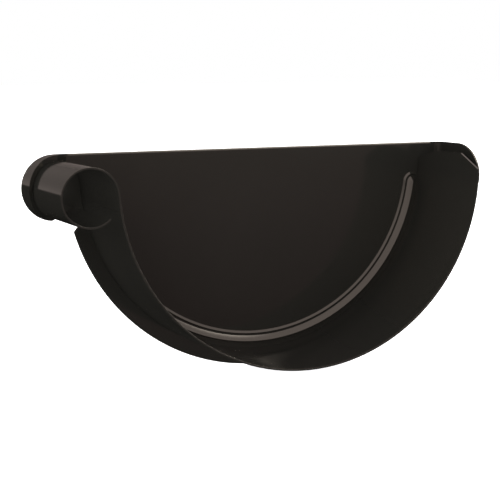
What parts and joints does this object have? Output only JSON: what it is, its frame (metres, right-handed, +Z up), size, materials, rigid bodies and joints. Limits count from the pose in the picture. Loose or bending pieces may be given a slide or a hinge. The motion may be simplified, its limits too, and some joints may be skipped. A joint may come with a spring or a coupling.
{
  "type": "gutter end cap",
  "caption": "Half-round gutter end cap folded from coated sheet steel: flat end plate, deep curved skirt, rolled front bead tube, folded rim, sealing rib and rear tongue.",
  "frame": {"origin": "on the axis of the half-round skirt, in the plane of the end plate's inner face", "axes": "+X to the rear, towards the house, with the rolled bead at -X; -Y into the gutter along the half-round's axis; +Z up as installed"},
  "size_m": [0.1546, 0.0407, 0.0746],
  "materials": {
    "coated_steel": "gloss dark brown polymer coating with a faint orange peel"
  },
  "bodies": {
    "root": {"end_cap": "coated_steel"}
  },
  "joints": []
}
